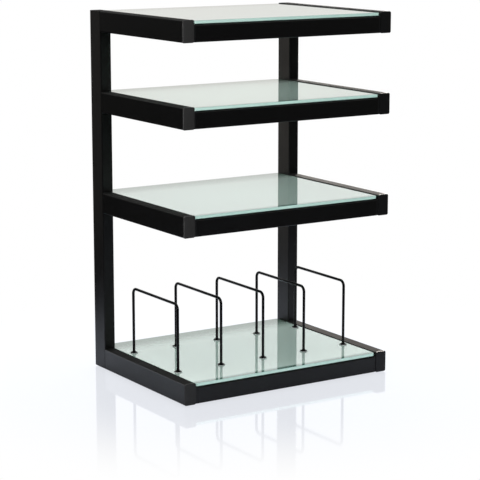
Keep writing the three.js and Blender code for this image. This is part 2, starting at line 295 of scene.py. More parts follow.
class RackStudio(PropertyGroup):
    """Camera, lamps, world and floor."""

    camera: FloatVectorProperty(name="Camera", description="Place of the camera", subtype="TRANSLATION",
                                size=3, default=(-2.3942, -3.7276, 1.2004))
    yaw: turn("Yaw", "Turn of the view to the right of +Y", 32.73)
    pitch: turn("Pitch", "Tilt of the view below the horizon", 11.01)
    lens: number("Lens", "Focal length on a 36 mm sensor, in millimetres", 132.6, 1000.0)
    floor_size: distance("Floor size", "Side of the square floor", 14.0)
    floor: colour("Floor", "Colour of the floor", (0.81, 0.83, 0.88))
    floor_bounce: colour("Floor bounce", "Colour that the floor throws back on the rack", (0.80, 0.85, 0.97))
    floor_roughness: number("Floor roughness", "Roughness of the polished floor", 0.05)
    floor_lift: number("Floor lift", "Share of the floor's colour that shows even in shade", 0.84)
    near: distance("Near", "Distance at which the floor starts to fade to white", 0.42)
    far: distance("Far", "Distance at which the floor is white", 0.95)
    card: distance("Card", "Distance past which gloss sees no bright floor", 1.15)
    key_power: watts("Key", "the lamp overhead, for all but the top shelf", 62.0)
    fill_power: watts("Fill", "the strip by the left caps", 8.5)
    front_power: watts("Front", "the lamp before the glass", 16.0)
    top_power: watts("Top", "the lamp overhead, for the top shelf alone", 38.0)
    rear_power: watts("Rear", "the lamp behind", 7.0)
    side_power: watts("Side", "the lamp at the rear left, for the posts", 0.3)
    rim_power: watts("Rim", "the lamp at the rear right, for the right frame", 56.0)
    inner_power: watts("Inner", "the lamp for the right post", 1.4)
    low_power: watts("Low", "the lamp for the lowest left arm", 3.0)
    card_power: watts("Cards", "each white card that glass sees", 6.8)
    ambient: number("Ambient", "Strength of the light from all round", 0.22)
    rear_ambient: number("Rear ambient", "Added strength of the light from the rear", 0.6, 4.0)
    front_glow: number("Front glow", "What gloss sees towards the front and at the horizon", 0.03)
    rear_glow: number("Rear glow", "What gloss sees towards the rear", 0.88)
    high_share: number("High share", "Share of that glow that gloss sees high up all round", 0.5)
    low_tint: colour("Low tint", "Colour of what gloss sees near the horizon", (0.862, 0.852, 0.82))
    high_tint: colour("High tint", "Colour of what gloss sees higher up", (0.97, 0.975, 0.965))


SETTINGS = {
    "rack_tubes": RackTubeSizes,
    "rack_welds": RackWeldSizes,
    "rack_moulded": RackMouldedSizes,
    "rack_dividers": RackDividerSizes,
    "rack_glass": RackGlassSizes,
    "rack_screws": RackScrewSizes,
    "rack_finishes": RackFinishes,
    "rack_studio": RackStudio,
}


# Mesh helpers

def across(node, axis):
    """Centre and size of a node's box, seen along an axis."""
    low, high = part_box(node)
    others = [n for n in range(3) if n != axis]
    return tuple((low[n] + high[n]) / 2 for n in others), tuple(high[n] - low[n] for n in others)


def shrunk(size, inset):
    """A size less an inset on every side."""
    return tuple(width - 2 * inset for width in size)


def rounded_points(size, radius, steps):
    """Points of a rectangle with round corners, anticlockwise round zero."""
    points = []
    for quarter, (side_x, side_y) in enumerate(((1, 1), (-1, 1), (-1, -1), (1, -1))):
        for step in range(steps + 1):
            angle = QUARTER * (quarter + step / steps)
            x = side_x * (size[0] / 2 - radius) + radius * math.cos(angle)
            y = side_y * (size[1] / 2 - radius) + radius * math.sin(angle)
            points.append((x, y))
    return points


def section(axis, at, centre, size, radius, steps):
    """A rounded rectangle square to an axis, as a ring of points in the rack's frame."""
    ring = []
    for x, y in rounded_points(size, min(radius, size[0] / 2, size[1] / 2), steps):
        point = [centre[0] + x, centre[1] + y]
        point.insert(axis, at)
        ring.append(Vector(point))
    return ring


def sections(axis, steps, *rows):
    """Rounded rectangles from rows of place, centre, size and corner radius."""
    return [section(axis, *row, steps) for row in rows]


def edge_sections(axis, face, outwards, centre, size, radius, edge, steps):
    """Rings that round the edge of a face, from the full section behind it to the face itself."""
    rings = []
    for step in range(steps + 1):
        angle = QUARTER * step / steps
        inset = edge * (1 - math.cos(angle))
        at = face - outwards * edge * (1 - math.sin(angle))
        rings.append(section(axis, at, centre, shrunk(size, inset), max(radius - inset, radius / 10), steps))
    return rings


def circle_ring(radius, height, facets=FACETS):
    """A ring of points round +Z."""
    angles = (math.tau * n / facets for n in range(facets))
    return [Vector((radius * math.cos(a), radius * math.sin(a), height)) for a in angles]


def hexagon_ring(size, height, limit=math.inf):
    """A hexagon of the given size across its flats, its corners cut back to a radius."""
    ring = []
    for n in range(FACETS):
        angle = math.tau * n / FACETS
        off_flat = angle % math.radians(60) - math.radians(30)
        radius = min(size / 2 / math.cos(off_flat), limit)
        ring.append(Vector((radius * math.cos(angle), radius * math.sin(angle), height)))
    return ring


def loft(name, rings, closed=False):
    """A mesh skinned over rings of points, filled at both ends unless it closes on itself."""
    bm = bmesh.new()
    loops = [[bm.verts.new(point) for point in ring] for ring in rings]
    pairs = list(zip(loops, loops[1:]))
    if closed:
        pairs.append((loops[-1], loops[0]))
    for low, high in pairs:
        for n, corner in enumerate(low):
            after = (n + 1) % len(low)
            bm.faces.new((corner, low[after], high[after], high[n]))
    if not closed:
        bm.faces.new(loops[0])
        bm.faces.new(loops[-1])
    bmesh.ops.remove_doubles(bm, verts=bm.verts, dist=MM / 1000)
    bmesh.ops.recalc_face_normals(bm, faces=bm.faces)
    mesh = bpy.data.meshes.new(name)
    bm.to_mesh(mesh)
    bm.free()
    return mesh


# Object helpers

def link(name, data):
    """A new object at the origin, for a mesh, a lamp or a camera."""
    obj = bpy.data.objects.new(name, data)
    bpy.context.scene.collection.objects.link(obj)
    return obj


def bake_modifiers(obj):
    """Replaces an object's mesh by the evaluated one and removes its modifiers."""
    depsgraph = bpy.context.evaluated_depsgraph_get()
    mesh = bpy.data.meshes.new_from_object(obj.evaluated_get(depsgraph), depsgraph=depsgraph)
    obj.modifiers.clear()
    obj.data = mesh
    mesh.name = obj.name
    return obj


def smooth(obj):
    """Shades an object smooth, keeps its sharp edges and evens the shading of its flats."""
    obj.data.polygons.foreach_set("use_smooth", [True] * len(obj.data.polygons))
    obj.data.set_sharp_from_angle(angle=SHARP_ANGLE)
    evener = obj.modifiers.new("Even shading", "WEIGHTED_NORMAL")
    evener.keep_sharp = True
    evener.weight = 100
    return bake_modifiers(obj)


def combine(obj, other, operation):
    """Joins another closed solid to an object, or cuts it away, and removes the other one."""
    change = obj.modifiers.new("Combine", "BOOLEAN")
    change.operation = operation
    change.solver = "EXACT"
    change.object = other
    bake_modifiers(obj)
    bpy.data.objects.remove(other)
    return obj


def lit_set(lamp):
    """The set of pieces that a lamp lights, or spares, made on its first use."""
    return bpy.data.collections.get(lamp) or bpy.data.collections.new(lamp)


def join_lit_sets(obj):
    """Puts a piece in the sets of the lamps that light it alone, and of those that spare it."""
    for lamp in LAMPS:
        if fnmatch(obj.name, lamp.lights or lamp.spares):
            lit_set(lamp.name).objects.link(obj)
            if lamp.spares:
                lit_set(lamp.name).collection_objects[-1].light_linking.link_state = "EXCLUDE"


def dress(obj, material, body, nodes=()):
    """Gives a finished piece its material, lamps and body, and hides the nodes that it stands for."""
    obj.data.materials.clear()
    obj.data.materials.append(material)
    join_lit_sets(obj)
    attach(obj, body)
    if nodes:
        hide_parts(*nodes)


def fine(node, mesh):
    """A new object for the finer mesh of a node."""
    return link(node + "_fine", mesh)


def stand_for(node, obj, material):
    """Smooths a finer object and shows it in place of a node."""
    dress(smooth(obj), material, BODY_OF[node], (node,))


# Node helpers

def set_inputs(tree, node, values):
    """Sets a node's inputs, by label or number, to plain values or links them to sockets."""
    for label, value in dict(values).items():
        if isinstance(value, bpy.types.NodeSocket):
            tree.links.new(value, node.inputs[label])
        else:
            node.inputs[label].default_value = value


def add_node(tree, kind, inputs=(), **settings):
    """A new node with its settings and inputs."""
    node = tree.nodes.new(kind)
    for name, value in settings.items():
        setattr(node, name, value)
    set_inputs(tree, node, inputs)
    return node


def result_of(tree, kind, inputs, **settings):
    """The first output of a new node."""
    return add_node(tree, kind, inputs, **settings).outputs[0]


def maths(tree, operation, *values):
    """The result of a Math node whose inputs are sockets or plain numbers."""
    return result_of(tree, "ShaderNodeMath", enumerate(values), operation=operation)


def noise(tree, vector, scale, detail):
    """A Noise texture read at a vector."""
    return result_of(tree, "ShaderNodeTexNoise", {"Vector": vector, "Scale": scale, "Detail": detail})


def ramp(tree, value, low, high):
    """Climbs smoothly from 0 at one limit to 1 at the other."""
    inputs = {"Value": value, "From Min": low, "From Max": high}
    return result_of(tree, "ShaderNodeMapRange", inputs, interpolation_type="SMOOTHSTEP")


def split(tree, vector):
    """The three parts of a vector."""
    return add_node(tree, "ShaderNodeSeparateXYZ", {"Vector": vector}).outputs


def surface_normal(tree):
    """The three parts of the surface's normal."""
    return split(tree, add_node(tree, "ShaderNodeNewGeometry").outputs["Normal"])


def opaque(value):
    """A plain colour with its alpha at 1. A socket stays as it is."""
    return value if isinstance(value, bpy.types.NodeSocket) else (*value, 1.0)


def mix_colours(tree, factor, low, high):
    """A Mix node between two colours, each a socket or a plain colour."""
    inputs = {0: factor, 6: opaque(low), 7: opaque(high)}
    return add_node(tree, "ShaderNodeMix", inputs, data_type="RGBA").outputs[2]


def emission(tree, value):
    """A plain glow of one colour."""
    return result_of(tree, "ShaderNodeEmission", {"Color": opaque(value)})


def mix_shaders(tree, factor, low, high):
    """A Mix Shader node between two shaders."""
    return result_of(tree, "ShaderNodeMixShader", {0: factor, 1: low, 2: high})


def new_tree(name, kind, inputs, outputs):
    """A node tree with named sockets, the sockets of its input node, and its output node."""
    tree = bpy.data.node_groups.new(name, kind)
    for label, value_kind, *default in inputs:
        socket = tree.interface.new_socket(label, in_out="INPUT", socket_type="NodeSocket" + value_kind)
        if default:
            socket.default_value = default[0]
    for label, value_kind in outputs:
        tree.interface.new_socket(label, in_out="OUTPUT", socket_type="NodeSocket" + value_kind)
    return tree, tree.nodes.new("NodeGroupInput").outputs, tree.nodes.new("NodeGroupOutput")


def shared_tree(name):
    """A node tree that is built on its first use."""
    return bpy.data.node_groups.get(name) or TREES[name](name)


# Materials

def grain_tree(name):
    """Bump of fine grain or orange peel, in two layers."""
    finer, coarse_detail, fine_detail = 3.7, 1.0, 2.0
    inputs = (("Vector", "Vector"), ("Grain Size", "Float", MM), ("Depth", "Float", MM / 100),
              ("Detail Share", "Float", 0.3))
    tree, given, result = new_tree(name, "ShaderNodeTree", inputs, (("Normal", "Vector"),))
    scale = maths(tree, "DIVIDE", 1.0, given["Grain Size"])
    coarse = noise(tree, given["Vector"], scale, coarse_detail)
    fine_layer = noise(tree, given["Vector"], maths(tree, "MULTIPLY", scale, finer), fine_detail)
    height = maths(tree, "MULTIPLY_ADD", fine_layer, given["Detail Share"], coarse)
    bump = {"Strength": 1.0, "Distance": given["Depth"], "Height": height}
    set_inputs(tree, result, {"Normal": result_of(tree, "ShaderNodeBump", bump)})
    return tree


def variation_tree(name):
    """A value that drifts between two limits, with masks of settled dust and of what faces up."""
    specks_per_patch, patch_detail, speck_detail, top_sharpness = 23.0, 3.0, 2.0, 4.0
    inputs = (("Vector", "Vector"), ("Patch Size", "Float", 60 * MM), ("Low", "Float", 0.3),
              ("High", "Float", 0.4), ("Dust", "Float", 0.1))
    outputs = (("Value", "Float"), ("Dust Mask", "Float"), ("Top Mask", "Float"))
    tree, given, result = new_tree(name, "ShaderNodeTree", inputs, outputs)
    scale = maths(tree, "DIVIDE", 1.0, given["Patch Size"])
    spread = {"Value": noise(tree, given["Vector"], scale, patch_detail), "From Min": 0.3, "From Max": 0.7,
              "To Min": given["Low"], "To Max": given["High"]}
    upwards = maths(tree, "MAXIMUM", surface_normal(tree)["Z"], 0.0)
    speck_scale = maths(tree, "MULTIPLY", scale, specks_per_patch)
    specks = noise(tree, given["Vector"], speck_scale, speck_detail)
    set_inputs(tree, result, {
        "Value": result_of(tree, "ShaderNodeMapRange", spread),
        "Dust Mask": maths(tree, "MULTIPLY", maths(tree, "MULTIPLY", upwards, specks), given["Dust"]),
        "Top Mask": maths(tree, "POWER", upwards, top_sharpness),
    })
    return tree


def place_group(tree, name, vector, values):
    """The outputs of a shared group that reads a vector and holds its own values."""
    inputs = {"Vector": vector, **values}
    return add_node(tree, "ShaderNodeGroup", inputs, node_tree=shared_tree(name)).outputs


def new_material(name):
    """A material with its node tree, its Principled BSDF and the Object coordinates."""
    material = bpy.data.materials.new(name)
    material.use_nodes = True
    tree = material.node_tree
    coordinates = add_node(tree, "ShaderNodeTexCoord").outputs["Object"]
    return material, tree, tree.nodes["Principled BSDF"], coordinates


def coated(name, base, dusty, roughness, spread, grain, depth, specular, dust, matte=0.0, metallic=0.0):
    """An opaque material with drifting roughness, fine grain and a trace of dust on top."""
    material, tree, shader, vector = new_material(name)
    limits = {"Low": roughness - spread, "High": roughness + spread, "Dust": dust}
    drift = place_group(tree, "Soft Variation", vector, limits)
    bumps = place_group(tree, "Surface Grain", vector, {"Grain Size": grain, "Depth": depth})
    rough = drift["Value"]
    if matte:
        rough = maths(tree, "MULTIPLY_ADD", drift["Top Mask"], matte, rough)
    set_inputs(tree, shader, {
        "Base Color": mix_colours(tree, drift["Dust Mask"], base, dusty),
        "Roughness": rough,
        "Normal": bumps["Normal"],
        "Specular IOR Level": specular,
        "Metallic": metallic,
    })
    return material


def steel_material(name, finish):
    """Satin black powder coat, rougher where it faces up."""
    return coated(name, finish.steel, dusty=(0.20, 0.19, 0.18), roughness=finish.steel_roughness,
                  spread=0.03, grain=finish.steel_peel, depth=0.012 * MM, specular=0.30, dust=0.012,
                  matte=finish.steel_matte)


def plastic_material(name, finish):
    """Dark grey plastic with a fine moulded grain."""
    return coated(name, finish.plastic, dusty=(0.22, 0.21, 0.20), roughness=finish.plastic_roughness,
                  spread=0.04, grain=finish.plastic_grain, depth=0.010 * MM, specular=0.25, dust=0.05)


def plug_material(name, finish):
    """Black plastic of the rail ends."""
    return coated(name, finish.plug, dusty=(0.15, 0.15, 0.14), roughness=finish.plastic_roughness,
                  spread=0.04, grain=finish.plastic_grain, depth=0.010 * MM, specular=0.3, dust=0.04)


def wire_material(name, finish):
    """Smooth black coating on wire."""
    return coated(name, finish.wire, dusty=(0.15, 0.15, 0.15), roughness=finish.wire_roughness, spread=0.03,
                  grain=2.5 * MM, depth=0.001 * MM, specular=0.15, dust=0.01)


def screw_material(name, finish):
    """Blackened steel of the screws."""
    return coated(name, finish.wire, dusty=(0.15, 0.15, 0.15), roughness=0.34, spread=0.04, grain=0.6 * MM,
                  depth=0.006 * MM, specular=0.6, dust=0.02)


def zinc_material(name, finish):
    """Bright zinc plating."""
    return coated(name, finish.zinc, dusty=(0.60, 0.60, 0.60), roughness=0.30, spread=0.05, grain=0.8 * MM,
                  depth=0.006 * MM, specular=0.5, dust=0.02, metallic=1.0)


def clear_material(name, finish):
    """Clear soft plastic of the washers on the glass."""
    material, tree, shader, vector = new_material(name)
    bumps = place_group(tree, "Surface Grain", vector, {"Grain Size": 0.9 * MM, "Depth": 0.01 * MM})
    set_inputs(tree, shader, {
        "Normal": bumps["Normal"],
        "Base Color": opaque(finish.clear),
        "Roughness": 0.3,
        "Transmission Weight": 0.35,
        "IOR": 1.45,
    })
    return material


def glass_material(name, finish):
    """Pale green glass, polished above, with a satin underside, painted shade over the rails beneath it and
    a painted shade line along its lower arrises.
    """
    side_limit, face_limit, haze_spread = 0.3, 0.9, 0.03
    front_start, front_end = 6 * MM, 24 * MM
    rear_start, rear_end = -75 * MM, 15 * MM
    material, tree, shader, vector = new_material(name)
    facing = surface_normal(tree)["Z"]
    flatness = maths(tree, "ABSOLUTE", facing)
    side = maths(tree, "LESS_THAN", flatness, side_limit)
    face = maths(tree, "GREATER_THAN", flatness, face_limit)
    low_side = maths(tree, "LESS_THAN", facing, -side_limit)
    under = maths(tree, "LESS_THAN", facing, -face_limit)
    along = split(tree, vector)["Y"]
    front_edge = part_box(LOW_GLASS)[0].y
    rear_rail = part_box("rear_bottom_rail")[0].y
    # Painted shade near the front edge and over the rear rail, where the rails under the satin underside
    # stop the light from below.
    past_front_rail_shade = ramp(tree, along, front_edge + front_start, front_edge + front_end)
    rear_rail_shade_mask = ramp(tree, along, rear_rail + rear_start, rear_rail + rear_end)
    shaded = mix_colours(tree, rear_rail_shade_mask, finish.glass, finish.glass_rear_rail_shade)
    shaded = mix_colours(tree, past_front_rail_shade, finish.glass_front_rail_shade, shaded)
    sides = mix_colours(tree, side, finish.glass_arris, finish.glass_edge)
    # Painted shade: the lower arrises take a dark colour for the shade line over the rail.
    sides = mix_colours(tree, low_side, sides, finish.glass_low_arris_shade)
    limits = {"Patch Size": 180 * MM, "Low": finish.glass_haze - haze_spread,
              "High": finish.glass_haze + haze_spread}
    drift = place_group(tree, "Soft Variation", vector, limits)
    shadow_rays = add_node(tree, "ShaderNodeLightPath").outputs["Is Shadow Ray"]
    set_inputs(tree, shader, {
        "Base Color": mix_colours(tree, face, sides, shaded),
        "Roughness": maths(tree, "MULTIPLY_ADD", drift["Value"], under, finish.glass_polish),
        "Coat Weight": maths(tree, "SUBTRACT", 1.0, under),
        "Alpha": maths(tree, "MULTIPLY_ADD", shadow_rays, finish.glass_shade - 1.0, 1.0),
        "Transmission Weight": finish.glass_clear,
        "IOR": 1.5,
        "Coat Roughness": 0.0,
        "Coat IOR": 1.5,
    })
    return material


MATERIALS = {
    "Satin Powder Coat": steel_material,
    "Grained Plastic": plastic_material,
    "Black Plastic": plug_material,
    "Dipped Wire Coating": wire_material,
    "Blackened Screws": screw_material,
    "Zinc Plating": zinc_material,
    "Clear Soft Plastic": clear_material,
    "Satin Glass": glass_material,
}


def shared_material(name):
    """A material that is built on its first use."""
    return bpy.data.materials.get(name) or MATERIALS[name](name, bpy.context.scene.rack_finishes)


# Geometry Nodes

def geometry_tree(name, *inputs):
    """A Geometry Nodes tree with named inputs beside its geometry and material."""
    geometry = ("Geometry", "Geometry")
    return new_tree(name, "GeometryNodeTree", (geometry, *inputs, ("Material", "Material")), (geometry,))


def end_tree(tree, geometry, given, result):
    """Ends a tree in Realize Instances and Set Material."""
    whole = result_of(tree, "GeometryNodeRealizeInstances", {"Geometry": geometry})
    finished = result_of(tree, "GeometryNodeSetMaterial", {"Geometry": whole, "Material": given["Material"]})
    set_inputs(tree, result, {"Geometry": finished})
    return tree


def swept(tree, curve, facets, radius, scale=1.0):
    """A smooth closed bar along a curve, whose radius a scale can vary."""
    circle = result_of(tree, "GeometryNodeCurvePrimitiveCircle", {"Resolution": facets, "Radius": radius})
    inputs = {"Curve": curve, "Profile Curve": circle, "Scale": scale, "Fill Caps": True}
    bar = result_of(tree, "GeometryNodeCurveToMesh", inputs)
    return result_of(tree, "GeometryNodeSetShadeSmooth", {"Geometry": bar})


def copies_tree(name):
    """Sets a copy of an object on each point, turned by the point's own angles if it has any."""
    tree, given, result = geometry_tree(name, ("Copy", "Object"))
    info = add_node(tree, "GeometryNodeObjectInfo", {"Object": given["Copy"]})
    angles = result_of(tree, "GeometryNodeInputNamedAttribute", {"Name": "turn"}, data_type="FLOAT_VECTOR")
    inputs = {"Points": given["Geometry"], "Instance": info.outputs["Geometry"],
              "Rotation": result_of(tree, "FunctionNodeEulerToRotation", {"Euler": angles})}
    return end_tree(tree, result_of(tree, "GeometryNodeInstanceOnPoints", inputs), given, result)


def hoop_tree(name):
    """Bends a wire along a line of edges and sets a collar on both its ends."""
    tree, given, result = geometry_tree(name, ("Bend", "Float"), ("Bend Steps", "Int"),
                                        ("Wire Radius", "Float"), ("Wire Facets", "Int"),
                                        ("Collar", "Object"))
    line = result_of(tree, "GeometryNodeMeshToCurve", {"Mesh": given["Geometry"]})
    bends = {"Curve": line, "Radius": given["Bend"], "Count": given["Bend Steps"]}
    path = result_of(tree, "GeometryNodeFilletCurve", bends, mode="POLY")
    wire = swept(tree, path, given["Wire Facets"], given["Wire Radius"])
    collar = add_node(tree, "GeometryNodeObjectInfo", {"Object": given["Collar"]})
    ends = result_of(tree, "GeometryNodeCurveEndpointSelection", {})
    collars = {"Points": line, "Selection": ends, "Instance": collar.outputs["Geometry"]}
    whole = add_node(tree, "GeometryNodeJoinGeometry")
    for part in (wire, result_of(tree, "GeometryNodeInstanceOnPoints", collars)):
        set_inputs(tree, whole, {"Geometry": part})
    return end_tree(tree, whole.outputs["Geometry"], given, result)


def bead_tree(name):
    """Lays a rippled weld bead along each edge."""
    facets, end_share = 14, 0.01
    tree, given, result = geometry_tree(name, ("Radius", "Float"), ("Step", "Float"), ("Ripple", "Float"),
                                        ("Ripple Share", "Float"), ("End Power", "Float"))
    line = result_of(tree, "GeometryNodeMeshToCurve", {"Mesh": given["Geometry"]})
    spacing = {"Curve": line, "Length": given["Step"]}
    rings = result_of(tree, "GeometryNodeResampleCurve", spacing, mode="LENGTH")
    along = add_node(tree, "GeometryNodeSplineParameter").outputs
    turns = maths(tree, "DIVIDE", along["Length"], given["Ripple"])
    wave = maths(tree, "ABSOLUTE", maths(tree, "SINE", maths(tree, "MULTIPLY", turns, math.pi)))
    trough = maths(tree, "SUBTRACT", 1.0, given["Ripple Share"])
    level = maths(tree, "MULTIPLY_ADD", wave, given["Ripple Share"], trough)
    off_middle = maths(tree, "ABSOLUTE", maths(tree, "MULTIPLY_ADD", along["Factor"], 2.0, -1.0))
    taper = maths(tree, "SUBTRACT", 1.0 + end_share, maths(tree, "POWER", off_middle, given["End Power"]))
    radius = maths(tree, "MULTIPLY", maths(tree, "MULTIPLY", level, taper), given["Radius"])
    return end_tree(tree, swept(tree, rings, facets, 1.0, radius), given, result)


TREES = {
    "Surface Grain": grain_tree,
    "Soft Variation": variation_tree,
    "Copies On Points": copies_tree,
    "Wire Hoop": hoop_tree,
    "Weld Beads": bead_tree,
}


def grow(name, tree_name, points, edges, values, turns=None):
    """Runs a tree on points and edges and keeps what it makes as a plain mesh."""
    tree = shared_tree(tree_name)
    mesh = bpy.data.meshes.new(name)
    mesh.from_pydata(points, edges, [])
    if turns:
        attribute = mesh.attributes.new("turn", "FLOAT_VECTOR", "POINT")
        attribute.data.foreach_set("vector", [angle for angles in turns for angle in angles])
    obj = link(name, mesh)
    modifier = obj.modifiers.new(tree.name, "NODES")
    modifier.node_group = tree
    sockets = {item.name: item.identifier for item in tree.interface.items_tree if item.in_out == "INPUT"}
    for label, value in values.items():
        modifier[sockets[label]] = value
    return bake_modifiers(obj)


def copies(name, pattern, points, turns, material):
    """One object of copies of a pattern, which is removed."""
    whole = grow(name, "Copies On Points", points, [], {"Copy": pattern, "Material": material}, turns)
    bpy.data.objects.remove(pattern)
    return whole


def set_copies(name, mesh, points, turns, material, body):
    """Makes one piece of copies of a mesh, set on points of one body."""
    piece = copies(name, smooth(link("pattern", mesh)), points, turns, material)
    dress(piece, material, body)


def cut_copies(obj, mesh, points, turns, material):
    """Cuts copies of a solid out of an object."""
    return combine(obj, copies("cutter", link("pattern", mesh), points, turns, material), "DIFFERENCE")


# Pieces of the rack

def post_mesh(node, sizes):
    """A tube that stands upright, closed at its top."""
    low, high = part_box(node)
    centre, outer = across(node, 2)
    inner = shrunk(outer, sizes.wall)
    rings = sections(2, sizes.arc_steps, (high.z - sizes.wall, centre, inner, sizes.inner_corner),
                     (low.z, centre, inner, sizes.inner_corner), (low.z, centre, outer, sizes.corner))
    rings += edge_sections(2, high.z, 1, centre, outer, sizes.corner, sizes.lid_edge, sizes.arc_steps)
    return loft(node, rings)


def tube_mesh(node, axis, corner, sizes):
    """A tube that fills a node's box along an axis, open at both ends."""
    start, end = (end[axis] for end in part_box(node))
    centre, outer = across(node, axis)
    inner = shrunk(outer, sizes.wall)
    rings = sections(axis, sizes.arc_steps, (start, centre, outer, corner), (end, centre, outer, corner),
                     (end, centre, inner, sizes.inner_corner), (start, centre, inner, sizes.inner_corner))
    return loft(node, rings, closed=True)


def cap_mesh(node, tubes, sizes):
    """An arm cap: a crowned plate with a round edge, and its spigot in the arm."""
    crown_steps = 6
    low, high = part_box(node)
    centre, plate = across(node, 1)
    spigot = shrunk(plate, sizes.cap_proud + tubes.wall + sizes.fit_gap)
    back = low.y + sizes.cap_thickness
    face = low.y + sizes.cap_crown
    steps = tubes.arc_steps
    rings = sections(1, steps, (high.y, centre, spigot, sizes.small_corner),
                     (back, centre, spigot, sizes.small_corner), (back, centre, plate, sizes.cap_corner))
    rings += edge_sections(1, face, -1, centre, plate, sizes.cap_corner, sizes.cap_edge, steps)
    flat = shrunk(plate, sizes.cap_edge)
    for step in range(1, crown_steps):
        reach = step / crown_steps
        at = face - sizes.cap_crown * (1 - (1 - reach) ** 2)
        smaller = shrunk(flat, reach * flat[0] / 2)
        corner = (sizes.cap_corner - sizes.cap_edge) * (1 - reach) + smaller[0] / 2 * reach
        rings.append(section(1, at, centre, smaller, corner, steps))
    return loft(node, rings)


def plug_object(node, rail, tubes, sizes, tenon_shift):
    """A rail plug: a tenon in the arm or post, the flange that shows, a spigot in the rail and a tongue."""
    centre, flange = across(node, 0)
    rail_centre, rail_size = across(rail, 0)
    inwards, outer_end = (1, 0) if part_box(node)[0].x < 0 else (-1, 1)
    tenon_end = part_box(node)[outer_end].x
    inner_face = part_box(rail)[outer_end].x - inwards * sizes.seam
    outer_face = inner_face - inwards * sizes.flange
    in_rail = (centre[0], rail_centre[1])
    in_arm = (centre[0] + tenon_shift, rail_centre[1])
    tenon = (sizes.tenon_depth, sizes.tenon_height)
    spigot = shrunk(rail_size, tubes.wall + sizes.fit_gap)
    steps, small = tubes.arc_steps, sizes.small_corner
    rings = sections(0, steps, (tenon_end, in_arm, tenon, small), (outer_face, in_arm, tenon, small))
    edge = (centre, flange, sizes.flange_corner, sizes.flange_edge, steps)
    rings += reversed(edge_sections(0, outer_face, -inwards, *edge))
    rings += edge_sections(0, inner_face, inwards, *edge)
    rings += sections(0, steps, (inner_face, in_rail, spigot, small),
                      (inner_face + inwards * sizes.plug_spigot, in_rail, spigot, small))
    under_glass = (centre[0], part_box(node)[1].z - sizes.rest_thickness / 2)
    tongue = (under_glass, (sizes.rest_depth, sizes.rest_thickness), sizes.rest_thickness / 3)
    tongue_rings = sections(0, steps, (inner_face - inwards * sizes.flange / 2, *tongue),
                            (inner_face + inwards * sizes.rest_reach, *tongue))
    return combine(fine(node, loft(node, rings)), link("tongue", loft("tongue", tongue_rings)), "UNION")


def foot_mesh(node, glide, tubes, sizes):
    """A post foot: a plate with a round lower edge and a spigot round the glide's stem."""
    low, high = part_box(node)
    centre, plate = across(node, 2)
    stem = across(glide, 2)[0]
    spigot = (plate[0] - 2 * (tubes.wall + sizes.fit_gap), sizes.foot_spigot_depth)
    hole = (sizes.stem_hole, sizes.stem_hole)
    plate_top = low.z + sizes.foot_plate
    steps, small = tubes.arc_steps, sizes.small_corner
    rings = edge_sections(2, low.z, -1, centre, plate, tubes.corner, sizes.foot_edge, steps)[::-1]
    rings += sections(2, steps, (plate_top, centre, plate, tubes.corner), (plate_top, stem, spigot, small),
                      (high.z, stem, spigot, small), (high.z, stem, hole, sizes.stem_hole / 2),
                      (low.z, stem, hole, sizes.stem_hole / 2))
    return loft(node, rings, closed=True)


def shelf_mesh(node, sizes, steps):
    """A sheet of glass with ground arrises round both faces."""
    low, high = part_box(node)
    centre, whole = across(node, 2)
    inner = (centre, shrunk(whole, sizes.arris), sizes.corner - sizes.arris)
    outer = (centre, whole, sizes.corner)
    return loft(node, sections(2, steps, (low.z, *inner), (low.z + sizes.arris, *outer),
                               (high.z - sizes.arris, *outer), (high.z, *inner)))


def divider_feet(sizes, height):
    """Where the legs of the dividers stand, at a height."""
    feet = []
    for node in DIVIDERS:
        low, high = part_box(node)
        for y in (low.y + sizes.brim / 2, high.y - sizes.brim / 2):
            feet.append(((low.x + high.x) / 2, y, height))
    return feet


def seat_height(sizes):
    """Height of the underside of the dividers' collars, above the clear washers."""
    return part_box(LOW_GLASS)[1].z + sizes.washer


def collar_mesh(sizes):
    """A flared collar with its stud, its brim resting on z = 0."""
    flare_steps, stud_ease = 8, 0.4 * MM
    stud_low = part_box(DIVIDERS[0])[0].z - seat_height(sizes)
    brim, stud, ease = sizes.brim / 2, sizes.stud / 2, sizes.rim / 3
    profile = [(stud - stud_ease, stud_low), (stud, stud_low + stud_ease), (stud, 0.0), (brim - ease, 0.0),
               (brim, ease), (brim, 2 * ease), (brim - ease, sizes.rim)]
    waist = (sizes.brim - sizes.neck) / 2 - ease
    for step in range(1, flare_steps + 1):
        angle = QUARTER * step / flare_steps
        height = sizes.rim + (sizes.collar - sizes.rim) * (1 - math.cos(angle))
        profile.append((sizes.neck / 2 + waist * (1 - math.sin(angle)), height))
    return loft("collar", [circle_ring(radius, height, sizes.wire_facets * 2) for radius, height in profile])


def washer_mesh(outside, inside, low, high, edge):
    """A flat washer between two heights, with its outer edge eased."""
    profile = ((outside / 2 - edge, low), (outside / 2, low + edge), (outside / 2, high - edge),
               (outside / 2 - edge, high), (inside / 2, high), (inside / 2, low))
    return loft("washer", [circle_ring(radius, height) for radius, height in profile], closed=True)


def nut_mesh(sizes):
    """A hexagon nut that hangs below z = 0, with eased corners and a hole for its stud."""
    ease, play = 0.35 * MM, 0.1 * MM
    low = -sizes.nut_height
    corner = sizes.nut / 2 / math.cos(math.radians(30)) - ease
    hole = sizes.stud / 2 + play
    rings = [
        hexagon_ring(sizes.nut, 0.0, corner),
        hexagon_ring(sizes.nut, -ease),
        hexagon_ring(sizes.nut, low + ease),
        hexagon_ring(sizes.nut, low, corner),
        circle_ring(hole, low),
        circle_ring(hole, 0.0),
    ]
    return loft("nut", rings, closed=True)


